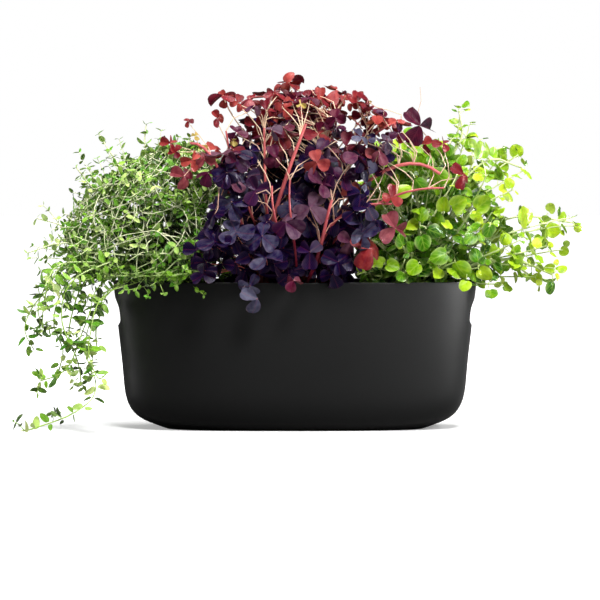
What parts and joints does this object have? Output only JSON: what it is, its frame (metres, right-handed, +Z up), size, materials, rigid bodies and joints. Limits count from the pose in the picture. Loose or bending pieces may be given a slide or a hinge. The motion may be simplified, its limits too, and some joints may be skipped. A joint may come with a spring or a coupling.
{
  "type": "indoor herb planter",
  "caption": "Oblong matte black planter with end grips; a lift-out deck holds wick-watered grow pots of thyme, purple wood sorrel and round-leaved cress.",
  "frame": {"origin": "centre of the flat base of the tub, on the surface that it stands on", "axes": "+X along the tub towards the cress, +Y to the back, +Z up; the front faces -Y"},
  "size_m": [0.5554, 0.2552, 0.3553],
  "materials": {
    "tub_black": "fine satin-matte moulded black",
    "inner_grey": "matte moulded dark grey",
    "felt": "dense undyed felt",
    "soil": "damp crumbly potting soil",
    "thyme_green": "small matte grey-green leaves",
    "sorrel_purple": "soft satin purple leaves",
    "cress_green": "fresh satin green leaves"
  },
  "bodies": {
    "tub": {"outer_tub": "tub_black"},
    "deck": {"lift_out_deck": "inner_grey"},
    "thyme_pot": {"thyme_grow_pot": "inner_grey", "thyme_wick": "felt", "thyme_soil": "soil", "thyme_crown": "thyme_green", "thyme_sprigs": "thyme_green", "thyme_trailing_sprigs": "thyme_green"},
    "sorrel_pot": {"sorrel_grow_pot": "inner_grey", "sorrel_wick": "felt", "sorrel_soil": "soil", "sorrel_crown": "sorrel_purple", "sorrel_leaf_stalks": "sorrel_purple", "sorrel_arching_stems": "sorrel_purple"},
    "cress_pot": {"cress_grow_pot": "inner_grey", "cress_wick": "felt", "cress_soil": "soil", "cress_crown": "cress_green", "cress_sprigs": "cress_green"}
  },
  "joints": [
    {"name": "deck_lift", "type": "slide", "parent": "tub", "child": "deck", "axis": [0, 0, 1], "range_m": [0, 0.17]},
    {"name": "thyme_pot_lift", "type": "slide", "parent": "deck", "child": "thyme_pot", "axis": [0, 0, 1], "range_m": [0, 0.15]},
    {"name": "sorrel_pot_lift", "type": "slide", "parent": "deck", "child": "sorrel_pot", "axis": [0, 0, 1], "range_m": [0, 0.15]},
    {"name": "cress_pot_lift", "type": "slide", "parent": "deck", "child": "cress_pot", "axis": [0, 0, 1], "range_m": [0, 0.15]}
  ]
}
